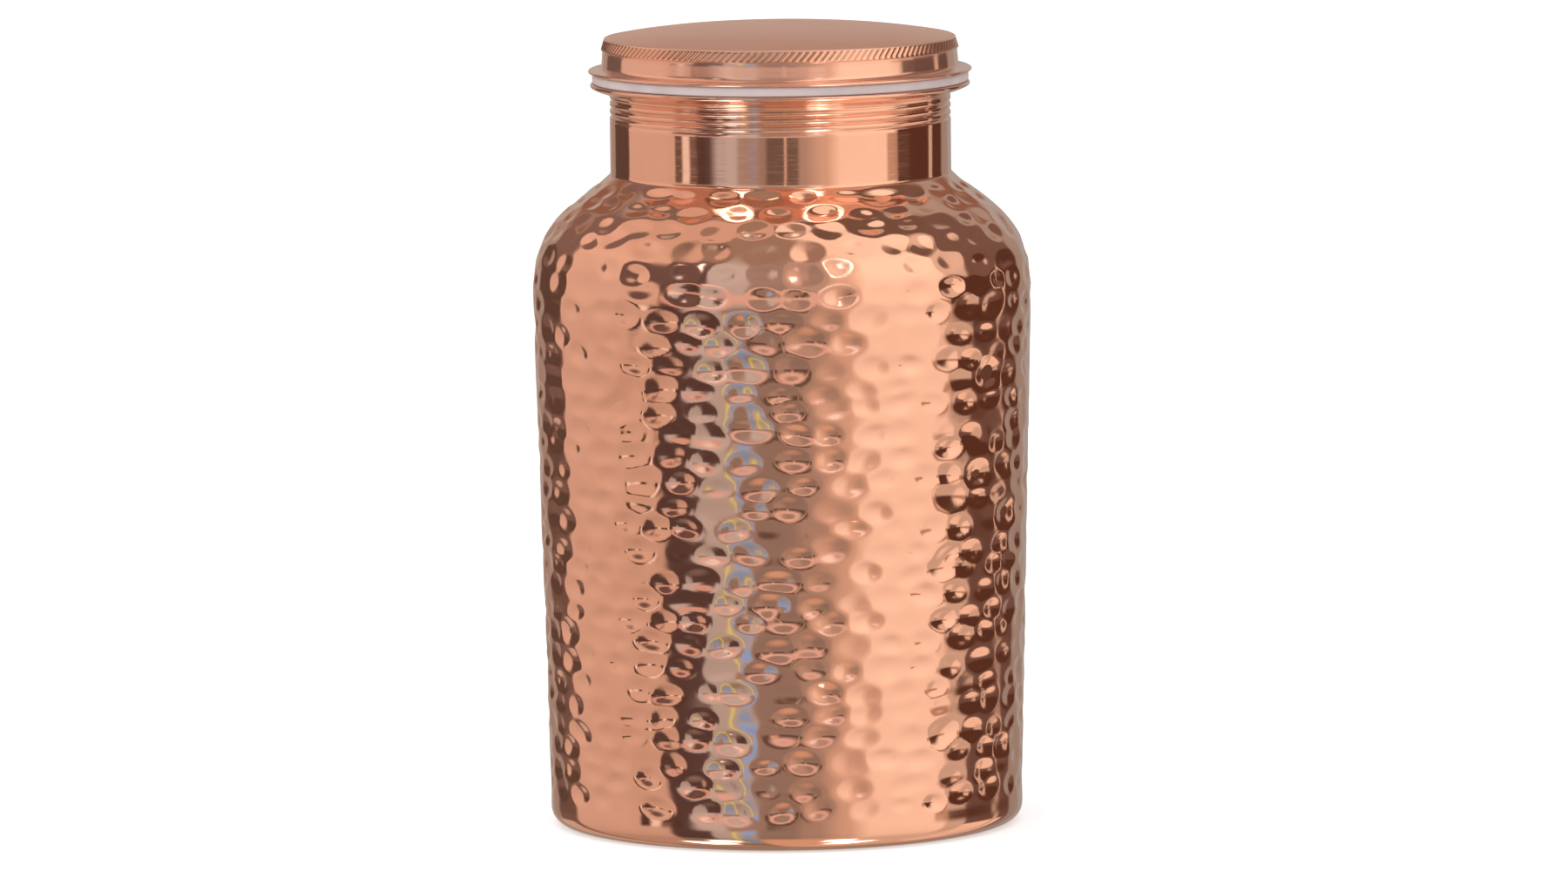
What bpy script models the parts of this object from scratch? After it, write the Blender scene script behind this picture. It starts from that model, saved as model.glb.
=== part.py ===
"""Copper water jug with a screw lid, as nine separate pieces.

Lengths are in metres, +Z is up, and the origin is the centre of the base on the surface that the
jug stands on. Every piece is turned about the Z axis, so an outline is a list of (radius, height)
points that runs down the piece's outer side and back up its inner side.
"""

import math

import bmesh
import bpy

MM = 0.001

# Whole jug
JUG_HEIGHT = 211.5 * MM
TURN_STEPS = 48
CLEARANCE = 0.3 * MM

# Hammered wall
WALL_THICKNESS = 1.0 * MM
WALL_TOP_RADIUS = 45.3 * MM
WALL_TOP_HEIGHT = 172.05 * MM
SHOULDER_RADIUS = 65.95 * MM
SHOULDER_HEIGHT = 141.75 * MM
SHOULDER_LOWER_PULL = 19.1 * MM
SHOULDER_UPPER_PULL = (7.8 * MM, 6.7 * MM)
SHOULDER_STEPS = 12
FOOT_RADIUS = 62.45 * MM
FOOT_CORNER = 4.5 * MM
FOOT_CORNER_STEPS = 6
FOOT_FLANGE_INNER_RADIUS = 52.0 * MM

# Bottom plate and its braze
BASE_THICKNESS = 1.0 * MM
BASE_RADIUS = 59.2 * MM
BASE_BRAZE_WIDTH = 2.0 * MM
BASE_BRAZE_HEIGHT = 1.7 * MM
BASE_BRAZE_STEPS = 3

# Neck
NECK_RADIUS = 45.0 * MM
NECK_THICKNESS = 0.8 * MM
NECK_BOTTOM = 168.4 * MM
NECK_BRAZE_WIDTH = 1.6 * MM
LIP_UNDERSIDE_START = 193.2 * MM
LIP_RADIUS = 50.1 * MM
LIP_TOP = 196.4 * MM
LIP_EDGE = 0.55 * MM
LIP_EDGE_STEPS = 5
LIP_UNDERSIDE_DEG = -50
LIP_LAND_INNER_RADIUS = 46.2 * MM
LIP_THROAT_HEIGHT = 194.0 * MM

# Thread rolled through the neck, and the one on the lid's plug that runs in it
THREAD_PITCH = 2.0 * MM
THREAD_DEPTH = 0.6 * MM
THREAD_BOTTOM = 186.2 * MM
THREAD_TOP = 193.0 * MM
THREAD_RUN_OUT = 0.8 * MM
THREAD_ROWS_PER_PITCH = 5
THREAD_CLEARANCE = 0.35 * MM

# Lid
LID_THICKNESS = 0.8 * MM
CROWN_POWER = 2.64
CROWN_STEPS = 7
KNURL_TOP_RADIUS = 46.3 * MM
KNURL_TOP_HEIGHT = 207.6 * MM
KNURL_BOTTOM_RADIUS = 47.2 * MM
KNURL_BOTTOM_HEIGHT = 205.3 * MM
BAND_STEP = 0.1 * MM
LID_WALL_RADIUS = 47.05 * MM
BRIM_RADIUS = 50.6 * MM
BRIM_UNDERSIDE = 199.1 * MM
BRIM_COVE = 1.55 * MM
BRIM_STEPS = 4

# Plug, its flange under the brim, and its solder
PLUG_BOTTOM = 184.6 * MM
PLUG_INNER_RADIUS = 42.3 * MM
PLUG_EDGE = 0.8 * MM
PLUG_EDGE_STEPS = 3
FLANGE_RADIUS = 46.2 * MM
FLANGE_THICKNESS = 0.8 * MM
SOLDER_WIDTH = 1.2 * MM
SOLDER_HEIGHT = 1.4 * MM

# Sealing ring
SEAL_INNER_RADIUS = 44.2 * MM
SEAL_OUTER_RADIUS = 49.6 * MM
SEAL_EDGE = 0.5 * MM
SEAL_EDGE_STEPS = 2

# Angle between faces above which an edge is shaded sharp
SHARP_ANGLE = math.radians(35)

COPPER = (0.80, 0.42, 0.29)
BRAZE = (0.72, 0.55, 0.30)
SOLDER = (0.62, 0.60, 0.57)
SILICONE = (0.80, 0.77, 0.78)


def clear_scene():
    """Remove every object that the file opened with."""
    for item in list(bpy.data.objects):
        bpy.data.objects.remove(item, do_unlink=True)


def make_collection(name):
    """Add an empty collection to the scene."""
    collection = bpy.data.collections.new(name)
    bpy.context.scene.collection.children.link(collection)
    return collection


def make_material(name, colour, roughness, metallic):
    """Make a plain material with one colour and finish."""
    material = bpy.data.materials.new(name)
    material.use_nodes = True
    shader = material.node_tree.nodes["Principled BSDF"]
    shader.inputs["Base Color"].default_value = (*colour, 1.0)
    shader.inputs["Roughness"].default_value = roughness
    shader.inputs["Metallic"].default_value = metallic
    return material


def arc(centre, radius, start_deg, end_deg, pieces):
    """Points along an arc, with angles measured from outward (0) to up (90)."""
    points = []
    for i in range(pieces + 1):
        angle = math.radians(start_deg + (end_deg - start_deg) * i / pieces)
        points.append((centre[0] + radius * math.cos(angle), centre[1] + radius * math.sin(angle)))
    return points


def bezier(start, first_pull, second_pull, end, pieces):
    """Points along a cubic curve between two ends, each with a point that it leaves towards."""
    points = []
    for i in range(pieces + 1):
        t = i / pieces
        s = 1.0 - t
        weights = (s * s * s, 3 * s * s * t, 3 * s * t * t, t * t * t)
        corners = (start, first_pull, second_pull, end)
        points.append(tuple(sum(w * c[axis] for w, c in zip(weights, corners)) for axis in (0, 1)))
    return points


def inward_offset(line, distance):
    """The same line moved to its inner side, for a line that runs down the outer side."""
    moved = []
    for i, (radius, height) in enumerate(line):
        before = line[max(i - 1, 0)]
        after = line[min(i + 1, len(line) - 1)]
        run = (after[0] - before[0], after[1] - before[1])
        length = math.hypot(*run)
        moved.append((radius + run[1] / length * distance, height - run[0] / length * distance))
    return moved


def turned(name, outline, collection, material, closed=True):
    """Turn an outline about Z with a Screw modifier. An open outline starts and ends on the axis."""
    mesh = bpy.data.meshes.new(name)
    points = [(radius, 0.0, height) for radius, height in outline]
    edges = [(i, i + 1) for i in range(len(points) - 1)]
    if closed:
        edges.append((len(points) - 1, 0))
    mesh.from_pydata(points, edges, [])
    mesh.materials.append(material)
    piece = bpy.data.objects.new(name, mesh)
    collection.objects.link(piece)
    screw = piece.modifiers.new("turn", "SCREW")
    screw.axis = "Z"
    screw.angle = math.tau
    screw.steps = TURN_STEPS
    screw.render_steps = TURN_STEPS
    screw.use_merge_vertices = True
    screw.merge_threshold = 0.01 * MM
    apply_modifiers(piece)
    shade(piece)
    return piece


def apply_modifiers(piece):
    """Keep the piece's evaluated mesh in place of its outline."""
    depsgraph = bpy.context.evaluated_depsgraph_get()
    outline = piece.data
    mesh = bpy.data.meshes.new_from_object(piece.evaluated_get(depsgraph))
    piece.modifiers.clear()
    piece.data = mesh
    bpy.data.meshes.remove(outline)
    mesh.name = piece.name


def shade(piece):
    """Shade the piece smooth, with its corners sharp."""
    piece.data.shade_smooth()
    piece.data.set_sharp_from_angle(angle=SHARP_ANGLE)


def thread_rows():
    """Heights of the rows of points through the thread, from its top to its bottom."""
    step = THREAD_PITCH / THREAD_ROWS_PER_PITCH
    count = round((THREAD_TOP - THREAD_BOTTOM) / step)
    return [THREAD_TOP - i * step for i in range(count + 1)]


def thread_wave(x, y, height):
    """Height of the right-hand thread at a point, from 0 at its root to 1 at its crest."""
    turns = height / THREAD_PITCH - math.atan2(y, x) / math.tau
    return 0.5 + 0.5 * math.cos(math.tau * turns)


def thread_fade(height):
    """How deep the thread is at a height, from 0 outside its ends to 1 between its run-outs."""
    from_end = min(height - THREAD_BOTTOM, THREAD_TOP - height)
    return min(max(from_end / THREAD_RUN_OUT, 0.0), 1.0)


def roll_thread(piece, least_radius, depth_at):
    """Move the piece's points outside a radius in or out by a depth for each point."""
    form = bmesh.new()
    form.from_mesh(piece.data)
    for point in form.verts:
        radius = math.hypot(point.co.x, point.co.y)
        if radius < least_radius:
            continue
        fade = thread_fade(point.co.z)
        wave = thread_wave(point.co.x, point.co.y, point.co.z)
        scale = 1.0 + depth_at(wave) * fade / radius
        point.co.x *= scale
        point.co.y *= scale
    form.to_mesh(piece.data)
    form.free()
    shade(piece)


def shoulder_slope():
    """How steeply the shoulder falls away from the neck, as an angle below level."""
    return math.atan2(SHOULDER_UPPER_PULL[1], SHOULDER_UPPER_PULL[0])


def shoulder_line():
    """The shoulder's outer line, from the neck down to the widest part."""
    top = (WALL_TOP_RADIUS, WALL_TOP_HEIGHT)
    upper = (top[0] + SHOULDER_UPPER_PULL[0], top[1] - SHOULDER_UPPER_PULL[1])
    bottom = (SHOULDER_RADIUS, SHOULDER_HEIGHT)
    lower = (bottom[0], bottom[1] + SHOULDER_LOWER_PULL)
    return bezier(top, upper, lower, bottom, SHOULDER_STEPS)


def body_wall(collection, material):
    """The hammered sheet: shoulder, tapered barrel, rounded foot and turned-in flange."""
    corner_centre = (FOOT_RADIUS - FOOT_CORNER, FOOT_CORNER)
    outer = shoulder_line() + arc(corner_centre, FOOT_CORNER, 0, -90, FOOT_CORNER_STEPS)
    outer.append((FOOT_FLANGE_INNER_RADIUS, 0.0))
    inner = inward_offset(outer, WALL_THICKNESS)
    inner[0] = (WALL_TOP_RADIUS, WALL_TOP_HEIGHT - WALL_THICKNESS / math.cos(shoulder_slope()))
    return turned("body_wall", outer + inner[::-1], collection, material)


def base_disc(collection, material):
    """The bottom plate, which lies on the wall's flange inside the foot."""
    bottom = WALL_THICKNESS + CLEARANCE
    top = bottom + BASE_THICKNESS
    outline = [(0.0, top), (BASE_RADIUS, top), (BASE_RADIUS, bottom), (0.0, bottom)]
    return turned("base_disc", outline, collection, material, closed=False)


def base_braze_ring(collection, material):
    """The braze in the corner between the bottom plate and the wall."""
    bottom = WALL_THICKNESS + BASE_THICKNESS + 2 * CLEARANCE
    top = bottom + BASE_BRAZE_HEIGHT
    centre = (FOOT_RADIUS - FOOT_CORNER, FOOT_CORNER)
    reach = FOOT_CORNER - WALL_THICKNESS - CLEARANCE
    steepest = -math.degrees(math.asin((centre[1] - bottom) / reach))
    wall_side = arc(centre, reach, 0, steepest, BASE_BRAZE_STEPS)
    outline = [(wall_side[0][0], top)] + wall_side
    outline.append((wall_side[-1][0] - BASE_BRAZE_WIDTH, bottom))
    return turned("base_braze_ring", outline, collection, material)


def neck_collar(collection, material):
    """The spun neck, with its thread rolled through the sheet and its lip flared and folded."""
    inner_radius = NECK_RADIUS - NECK_THICKNESS
    tip = (LIP_RADIUS - LIP_EDGE, LIP_TOP - LIP_EDGE)
    land = [(LIP_LAND_INNER_RADIUS, LIP_TOP)]
    lip = arc(tip, LIP_EDGE, 90, LIP_UNDERSIDE_DEG, LIP_EDGE_STEPS)
    outer_thread = [(NECK_RADIUS, height) for height in thread_rows()]
    inner_thread = [(inner_radius, height) for height in reversed(thread_rows())]
    under_lip = [(NECK_RADIUS, LIP_UNDERSIDE_START)]
    ends = [(NECK_RADIUS, NECK_BOTTOM), (inner_radius, NECK_BOTTOM)]
    throat = [(inner_radius, LIP_THROAT_HEIGHT)]
    outline = land + lip + under_lip + outer_thread + ends + inner_thread + throat
    piece = turned("neck_collar", outline, collection, material)
    roll_thread(piece, 0.0, lambda wave: -THREAD_DEPTH * (1.0 - wave))
    return piece


def neck_braze_ring(collection, material):
    """The braze inside the jug, in the corner between the neck and the shoulder."""
    inner = NECK_RADIUS + CLEARANCE
    top = WALL_TOP_HEIGHT - (WALL_THICKNESS + CLEARANCE) / math.cos(shoulder_slope())
    bottom = top - NECK_BRAZE_WIDTH * math.tan(shoulder_slope())
    outline = [(inner, top), (inner + NECK_BRAZE_WIDTH, bottom), (inner, bottom)]
    return turned("neck_braze_ring", outline, collection, material)


def sealing_ring(collection, material):
    """The silicone ring between the neck's lip and the lid's brim."""
    bottom = LIP_TOP + CLEARANCE
    top = BRIM_UNDERSIDE - CLEARANCE
    outline = []
    for radius, height, start_deg in (
        (SEAL_OUTER_RADIUS - SEAL_EDGE, top - SEAL_EDGE, 90),
        (SEAL_OUTER_RADIUS - SEAL_EDGE, bottom + SEAL_EDGE, 0),
        (SEAL_INNER_RADIUS + SEAL_EDGE, bottom + SEAL_EDGE, -90),
        (SEAL_INNER_RADIUS + SEAL_EDGE, top - SEAL_EDGE, -180),
    ):
        outline += arc((radius, height), SEAL_EDGE, start_deg, start_deg - 90, SEAL_EDGE_STEPS)
    return turned("sealing_ring", outline, collection, material)


def lid_cap(collection, material):
    """The lid's outer shell: crown, band for the fingers, short wall and flared brim."""
    rise = JUG_HEIGHT - KNURL_TOP_HEIGHT
    crown = []
    for step in range(CROWN_STEPS + 1):
        share = step / CROWN_STEPS
        crown.append((KNURL_TOP_RADIUS * share, JUG_HEIGHT - rise * share**CROWN_POWER))
    band = [(KNURL_BOTTOM_RADIUS, KNURL_BOTTOM_HEIGHT)]
    band.append((LID_WALL_RADIUS, KNURL_BOTTOM_HEIGHT - BAND_STEP))
    brim_top = BRIM_UNDERSIDE + LID_THICKNESS
    cove_centre = (LID_WALL_RADIUS + BRIM_COVE, brim_top + BRIM_COVE)
    cove = arc(cove_centre, BRIM_COVE, 180, 270, BRIM_STEPS)
    half_sheet = LID_THICKNESS / 2
    tip = arc((BRIM_RADIUS - half_sheet, brim_top - half_sheet), half_sheet, 90, -90, BRIM_STEPS)
    inner_radius = LID_WALL_RADIUS - LID_THICKNESS
    inner_cove = arc(cove_centre, BRIM_COVE + LID_THICKNESS, 270, 180, BRIM_STEPS)
    inner_wall = [(inner_radius, KNURL_BOTTOM_HEIGHT)]
    inner_wall.append((KNURL_TOP_RADIUS - LID_THICKNESS, KNURL_TOP_HEIGHT - LID_THICKNESS))
    inner_crown = [(radius, height - LID_THICKNESS) for radius, height in reversed(crown[:-1])]
    outline = crown + band + cove + tip + inner_cove + inner_wall + inner_crown
    return turned("lid_cap", outline, collection, material, closed=False)


def lid_plug(collection, material):
    """The lid's inner cup: flange under the brim, threaded side and closed bottom."""
    root_radius = NECK_RADIUS - NECK_THICKNESS - THREAD_DEPTH - THREAD_CLEARANCE
    flange_bottom = BRIM_UNDERSIDE
    flange_top = flange_bottom + FLANGE_THICKNESS
    floor = PLUG_BOTTOM + LID_THICKNESS
    outline = [(0.0, floor), (PLUG_INNER_RADIUS - PLUG_EDGE, floor)]
    outline += [(PLUG_INNER_RADIUS, floor + PLUG_EDGE), (PLUG_INNER_RADIUS, flange_top)]
    outline += [(FLANGE_RADIUS, flange_top), (FLANGE_RADIUS, flange_bottom), (root_radius, flange_bottom)]
    outline += [(root_radius, height) for height in thread_rows()]
    corner = (root_radius - PLUG_EDGE, PLUG_BOTTOM + PLUG_EDGE)
    outline += arc(corner, PLUG_EDGE, 0, -90, PLUG_EDGE_STEPS)
    outline.append((0.0, PLUG_BOTTOM))
    piece = turned("lid_plug", outline, collection, material, closed=False)
    roll_thread(piece, (PLUG_INNER_RADIUS + root_radius) / 2, lambda wave: THREAD_DEPTH * wave)
    return piece


def lid_solder_ring(collection, material):
    """The solder in the corner between the plug's flange and the inside of the cap."""
    bottom = BRIM_UNDERSIDE + FLANGE_THICKNESS + CLEARANCE
    outer = LID_WALL_RADIUS - LID_THICKNESS - CLEARANCE
    outline = [(outer, bottom + SOLDER_HEIGHT), (outer, bottom), (outer - SOLDER_WIDTH, bottom)]
    return turned("lid_solder_ring", outline, collection, material)


def hang_lid(collection, seal, lid_pieces):
    """Parent the pieces that leave the jug to empties on its axis: the seal rises, the lid also turns."""
    rise = bpy.data.objects.new("lid_rise_axis", None)
    turn = bpy.data.objects.new("lid_turn_axis", None)
    for empty in (rise, turn):
        empty.empty_display_size = 20.0 * MM
        collection.objects.link(empty)
    turn.parent = rise
    seal.parent = rise
    for piece in lid_pieces:
        piece.parent = turn


def main():
    """Build the jug."""
    clear_scene()
    jug = make_collection("copper_water_jug")
    hammered = make_material("copper_hammered", COPPER, 0.10, 1.0)
    polished = make_material("copper_polished", COPPER, 0.14, 1.0)
    satin = make_material("copper_satin", COPPER, 0.35, 1.0)
    braze = make_material("braze", BRAZE, 0.45, 1.0)
    solder = make_material("solder", SOLDER, 0.50, 1.0)
    silicone = make_material("silicone_white", SILICONE, 0.55, 0.0)
    body_wall(jug, hammered)
    base_disc(jug, polished)
    base_braze_ring(jug, braze)
    neck_collar(jug, polished)
    neck_braze_ring(jug, braze)
    seal = sealing_ring(jug, silicone)
    lid_pieces = [lid_cap(jug, satin), lid_plug(jug, polished), lid_solder_ring(jug, solder)]
    hang_lid(jug, seal, lid_pieces)


main()
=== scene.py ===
"""Copper water jug with a screw lid: the looks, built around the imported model.

The jug is hand-hammered copper with a spun neck, a screw lid and a silicone ring between them. Every
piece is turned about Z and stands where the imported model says. Sizes are in millimetres until a mesh
is made, and the meshes are in metres.
"""

from __future__ import annotations

import logging
import math
from collections.abc import Callable
from dataclasses import dataclass
from enum import Enum

import bpy
import numpy as np
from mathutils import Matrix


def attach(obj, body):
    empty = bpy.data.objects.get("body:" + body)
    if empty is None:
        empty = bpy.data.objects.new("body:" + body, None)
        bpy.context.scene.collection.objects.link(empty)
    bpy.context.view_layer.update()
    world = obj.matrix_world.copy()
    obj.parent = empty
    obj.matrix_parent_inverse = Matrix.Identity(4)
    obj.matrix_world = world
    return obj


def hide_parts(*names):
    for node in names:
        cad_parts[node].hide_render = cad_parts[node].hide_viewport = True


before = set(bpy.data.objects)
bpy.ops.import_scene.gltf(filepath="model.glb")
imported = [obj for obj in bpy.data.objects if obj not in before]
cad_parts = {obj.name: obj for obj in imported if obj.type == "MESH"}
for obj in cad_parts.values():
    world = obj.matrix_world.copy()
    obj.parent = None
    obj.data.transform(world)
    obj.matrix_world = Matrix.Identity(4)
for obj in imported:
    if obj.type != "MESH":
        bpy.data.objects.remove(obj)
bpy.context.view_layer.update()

MM = 0.001
LOG = logging.getLogger("copper_jug")

Point = tuple[float, float]
Colour = tuple[float, float, float]
Grid = np.ndarray
Shift = tuple[np.ndarray, np.ndarray]
Shaping = Callable[[Grid, Grid, Grid], Shift]

# Points round a threaded piece
THREAD_COLUMNS = 256


# Node sheets


class Value:
    """A number that varies over a surface, on its way through a sheet's nodes."""

    def __init__(self, sheet: Sheet, socket: bpy.types.NodeSocket) -> None:
        """Wrap an output socket of a sheet."""
        self.sheet = sheet
        self.socket = socket

    def maths(self, operation: str, *terms: Value | float) -> Value:
        """The result of one more Math node, with its inputs in order."""
        node = self.sheet.node("ShaderNodeMath", {"operation": operation}, dict(enumerate(terms)))
        return Value(self.sheet, node.outputs[0])

    def __add__(self, other: Value | float) -> Value:
        """Sum."""
        return self.maths("ADD", self, other)

    def __sub__(self, other: Value | float) -> Value:
        """Difference."""
        return self.maths("SUBTRACT", self, other)

    def __mul__(self, other: Value | float) -> Value:
        """Product."""
        return self.maths("MULTIPLY", self, other)

    def __truediv__(self, other: Value | float) -> Value:
        """Quotient."""
        return self.maths("DIVIDE", self, other)

    def __pow__(self, other: Value | float) -> Value:
        """Power."""
        return self.maths("POWER", self, other)

    def __radd__(self, other: float) -> Value:
        """Sum with a plain number first."""
        return self.maths("ADD", other, self)

    def __rsub__(self, other: float) -> Value:
        """Difference from a plain number."""
        return self.maths("SUBTRACT", other, self)

    def __rmul__(self, other: float) -> Value:
        """Product with a plain number first."""
        return self.maths("MULTIPLY", other, self)

    def __neg__(self) -> Value:
        """The number with its sign changed."""
        return self.maths("MULTIPLY", self, -1.0)

    def rise(self, low: float, high: float) -> Value:
        """Ease from 0 at low to 1 at high.

        Args:
            low: Where the ramp starts.
            high: Where the ramp ends.

        Returns:
            The eased number.
        """
        settings = {"interpolation_type": "SMOOTHSTEP", "clamp": True}
        inputs = {"Value": self, "From Min": low, "From Max": high}
        node = self.sheet.node("ShaderNodeMapRange", settings, inputs)
        return Value(self.sheet, node.outputs["Result"])


class Sheet:
    """The nodes of one material, or of the world."""

    def __init__(self, tree: bpy.types.NodeTree) -> None:
        """Start a sheet from the node tree that it adds nodes to."""
        self.tree = tree

    def node(self, kind: str, settings: dict[str, object], inputs: dict[object, object]) -> bpy.types.Node:
        """Add any node.

        Args:
            kind: The node's type name.
            settings: Its settings, such as an operation, or "stops" for a ramp.
            inputs: Its sockets by name or number, each with a number, colour, value or output.

        Returns:
            The new node.
        """
        made = self.tree.nodes.new(kind)
        for name, setting in settings.items():
            if name == "stops":
                self.set_stops(made.color_ramp, setting)
            else:
                setattr(made, name, setting)
        self.feed(made, inputs)
        return made

    def feed(self, node: bpy.types.Node, inputs: dict[object, object]) -> None:
        """Link or set a node's sockets.

        Args:
            node: The node.
            inputs: Its sockets by name or number, each with a number, colour, value or output.
        """
        for name, given in inputs.items():
            given = given.socket if isinstance(given, Value) else given
            if isinstance(given, bpy.types.NodeSocket):
                self.tree.links.new(given, node.inputs[name])
            else:
                node.inputs[name].default_value = given

    @staticmethod
    def set_stops(ramp: bpy.types.ColorRamp, stops: list[tuple[float, Colour]]) -> None:
        """Give a ramp its stops.

        Args:
            ramp: The ramp to change.
            stops: Its positions from 0 to 1, each with a colour.
        """
        while len(ramp.elements) > 1:
            ramp.elements.remove(ramp.elements[-1])
        ramp.elements[0].position = stops[0][0]
        ramp.elements[0].color = (*stops[0][1], 1.0)
        for position, colour in stops[1:]:
            ramp.elements.new(position).color = (*colour, 1.0)

    def place(self) -> tuple[Value, Value, Value]:
        """The point's x, y and z on the piece, in millimetres."""
        coordinates = self.node("ShaderNodeTexCoord", {}, {}).outputs["Object"]
        split = self.node("ShaderNodeSeparateXYZ", {}, {0: coordinates})
        return tuple(Value(self, output) * (1.0 / MM) for output in split.outputs)

    def vector(self, x: Value | float, y: Value | float, z: Value | float) -> bpy.types.NodeSocket:
        """Three numbers as one vector."""
        return self.node("ShaderNodeCombineXYZ", {}, {0: x, 1: y, 2: z}).outputs[0]

    def noise(self, vector: bpy.types.NodeSocket, scale: float, detail: float) -> Value:
        """Soft noise from 0 to 1, with scale cells per unit of the vector, and finer layers."""
        inputs = {"Vector": vector, "Scale": scale, "Detail": detail}
        return Value(self, self.node("ShaderNodeTexNoise", {}, inputs).outputs["Fac"])

    def mix(self, share: Value | float, first: object, second: object) -> bpy.types.NodeSocket:
        """Blend two colours.

        Args:
            share: 0 for the first colour, 1 for the second.
            first: A colour or an output.
            second: A colour or an output.

        Returns:
            The blended colour's output.
        """
        first = (*first, 1.0) if isinstance(first, tuple) else first
        second = (*second, 1.0) if isinstance(second, tuple) else second
        node = self.node("ShaderNodeMix", {"data_type": "RGBA"}, {0: share, 6: first, 7: second})
        return node.outputs[2]

    def multiplied(self, first: bpy.types.NodeSocket, second: Colour) -> bpy.types.NodeSocket:
        """A colour multiplied by another."""
        settings = {"data_type": "RGBA", "blend_type": "MULTIPLY"}
        return self.node("ShaderNodeMix", settings, {0: 1.0, 6: first, 7: (*second, 1.0)}).outputs[2]

    def bump(self, height: Value, depth: float) -> bpy.types.NodeSocket:
        """A surface normal from a height, where a height of 1 is so many millimetres deep."""
        inputs = {"Strength": 1.0, "Distance": depth * MM, "Height": height}
        return self.node("ShaderNodeBump", {}, inputs).outputs[0]


# Finishes


def new_sheet(name: str) -> tuple[bpy.types.Material, Sheet, bpy.types.Node]:
    """Start a material.

    Args:
        name: The material's name.

    Returns:
        The material, its sheet, and its shader node.
    """
    material = bpy.data.materials.new(name)
    material.use_nodes = True
    return material, Sheet(material.node_tree), material.node_tree.nodes["Principled BSDF"]


class Lay(Enum):
    """Which way the fine lines of a finish run."""

    AROUND = "around"
    FACING = "facing"


@dataclass(frozen=True)
class CopperFinish:
    """Copper, from mirror polish to satin, with the lines its last wheel or lathe tool left."""

    name: str
    roughness: float = 0.07
    roughness_spread: float = 0.03
    line_depth: float = 0.0012
    line_gap: float = 0.22
    lay: Lay = Lay.AROUND
    brushing: float = 0.0
    scratch_depth: float = 0.0
    bright: Colour = (0.955, 0.66, 0.55)
    dull: Colour = (0.87, 0.565, 0.46)
    dull_share: float = 0.35
    metal_share: float = 1.0
    line_stretch: float = 0.03
    stroke_stretch: float = 0.11
    strokes_per_mm: float = 2.1
    cloud_scale: float = 0.045
    grain_scale: float = 1.3
    grain_spread: float = 0.02
    brushing_turn: float = 0.25

    def material(self) -> bpy.types.Material:
        """Make the material.

        Returns:
            The material.
        """
        material, sheet, shader = new_sheet(self.name)
        x, y, z = sheet.place()
        radius = (x * x + y * y) ** 0.5
        across = z if self.lay is Lay.AROUND else radius
        along = (x * self.line_stretch, y * self.line_stretch)
        lines = sheet.noise(sheet.vector(*along, across * (1.0 / self.line_gap)), 1.0, 3.0)
        cloud = sheet.noise(sheet.vector(x, y, z), self.cloud_scale, 4.0)
        grain = sheet.noise(sheet.vector(x, y, z), self.grain_scale, 3.0)
        colour = sheet.mix(cloud.rise(0.40, 0.72) * self.dull_share, self.bright, self.dull)
        rough = self.roughness + (cloud - 0.5) * self.roughness_spread + (grain - 0.5) * self.grain_spread
        along = (x * self.stroke_stretch, y * self.stroke_stretch)
        strokes = sheet.noise(sheet.vector(*along, across * self.strokes_per_mm), 1.0, 2.0).rise(0.48, 0.72)
        height = lines * self.line_depth + strokes * self.scratch_depth
        inputs = {
            "Base Color": self.with_painted_shade(sheet, colour),
            "Roughness": rough,
            "Normal": sheet.bump(height, 1.0),
            "Metallic": self.metal_share,
            "Anisotropic": self.brushing,
            "Anisotropic Rotation": self.brushing_turn,
        }
        sheet.feed(shader, inputs)
        return material

    def with_painted_shade(self, sheet: Sheet, colour: bpy.types.NodeSocket) -> bpy.types.NodeSocket:
        """The colour with any painted shade laid on it: none, on an open surface."""
        return colour


@dataclass(frozen=True)
class KnurledFinish(CopperFinish):
    """Copper with painted shade darkening the grooves of a slanting knurl."""

    knurls: int = 156
    slope_radius: float = 47.05
    foot: float = 205.3
    # Colour of the painted shade laid into the knurl's grooves, and how much of it
    oxide_and_shade: Colour = (0.50, 0.27, 0.18)
    groove_shade_share: float = 0.6

    def with_painted_shade(self, sheet: Sheet, colour: bpy.types.NodeSocket) -> bpy.types.NodeSocket:
        """Darken the grooves with painted shade.

        Args:
            sheet: The material's sheet.
            colour: The copper's colour.

        Returns:
            The colour with its painted shade in the grooves.
        """
        x, y, z = sheet.place()
        along = y.maths("ARCTAN2", y, x) - (z - self.foot) * (1.0 / self.slope_radius)
        groove = 0.5 - 0.5 * (along * float(self.knurls)).maths("COSINE", along * float(self.knurls))
        # Painted shade: the grooves' colour is pulled towards the dark shade colour
        return sheet.mix(groove.rise(0.35, 0.95) * self.groove_shade_share, colour, self.oxide_and_shade)


@dataclass(frozen=True)
class SiliconeFinish:
    """Moulded milky silicone."""

    name: str
    pale: Colour = (0.52, 0.43, 0.42)
    deep: Colour = (0.46, 0.375, 0.37)
    roughness: float = 0.46
    roughness_spread: float = 0.15
    grain_depth: float = 0.004
    milkiness: float = 0.1
    light_depth: float = 0.6

    def material(self) -> bpy.types.Material:
        """Make the material.

        Returns:
            The material.
        """
        material, sheet, shader = new_sheet(self.name)
        x, y, z = sheet.place()
        cloud = sheet.noise(sheet.vector(x, y, z), 0.15, 3.0)
        grain = sheet.noise(sheet.vector(x, y, z), 4.0, 2.0)
        colour = sheet.mix(cloud.rise(0.3, 0.7), self.pale, self.deep)
        inputs = {
            "Base Color": colour,
            "Roughness": self.roughness + (cloud - 0.5) * self.roughness_spread,
            "Normal": sheet.bump(grain, self.grain_depth),
            "Subsurface Weight": self.milkiness,
            "Subsurface Scale": self.light_depth * MM,
        }
        sheet.feed(shader, inputs)
        return material


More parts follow.
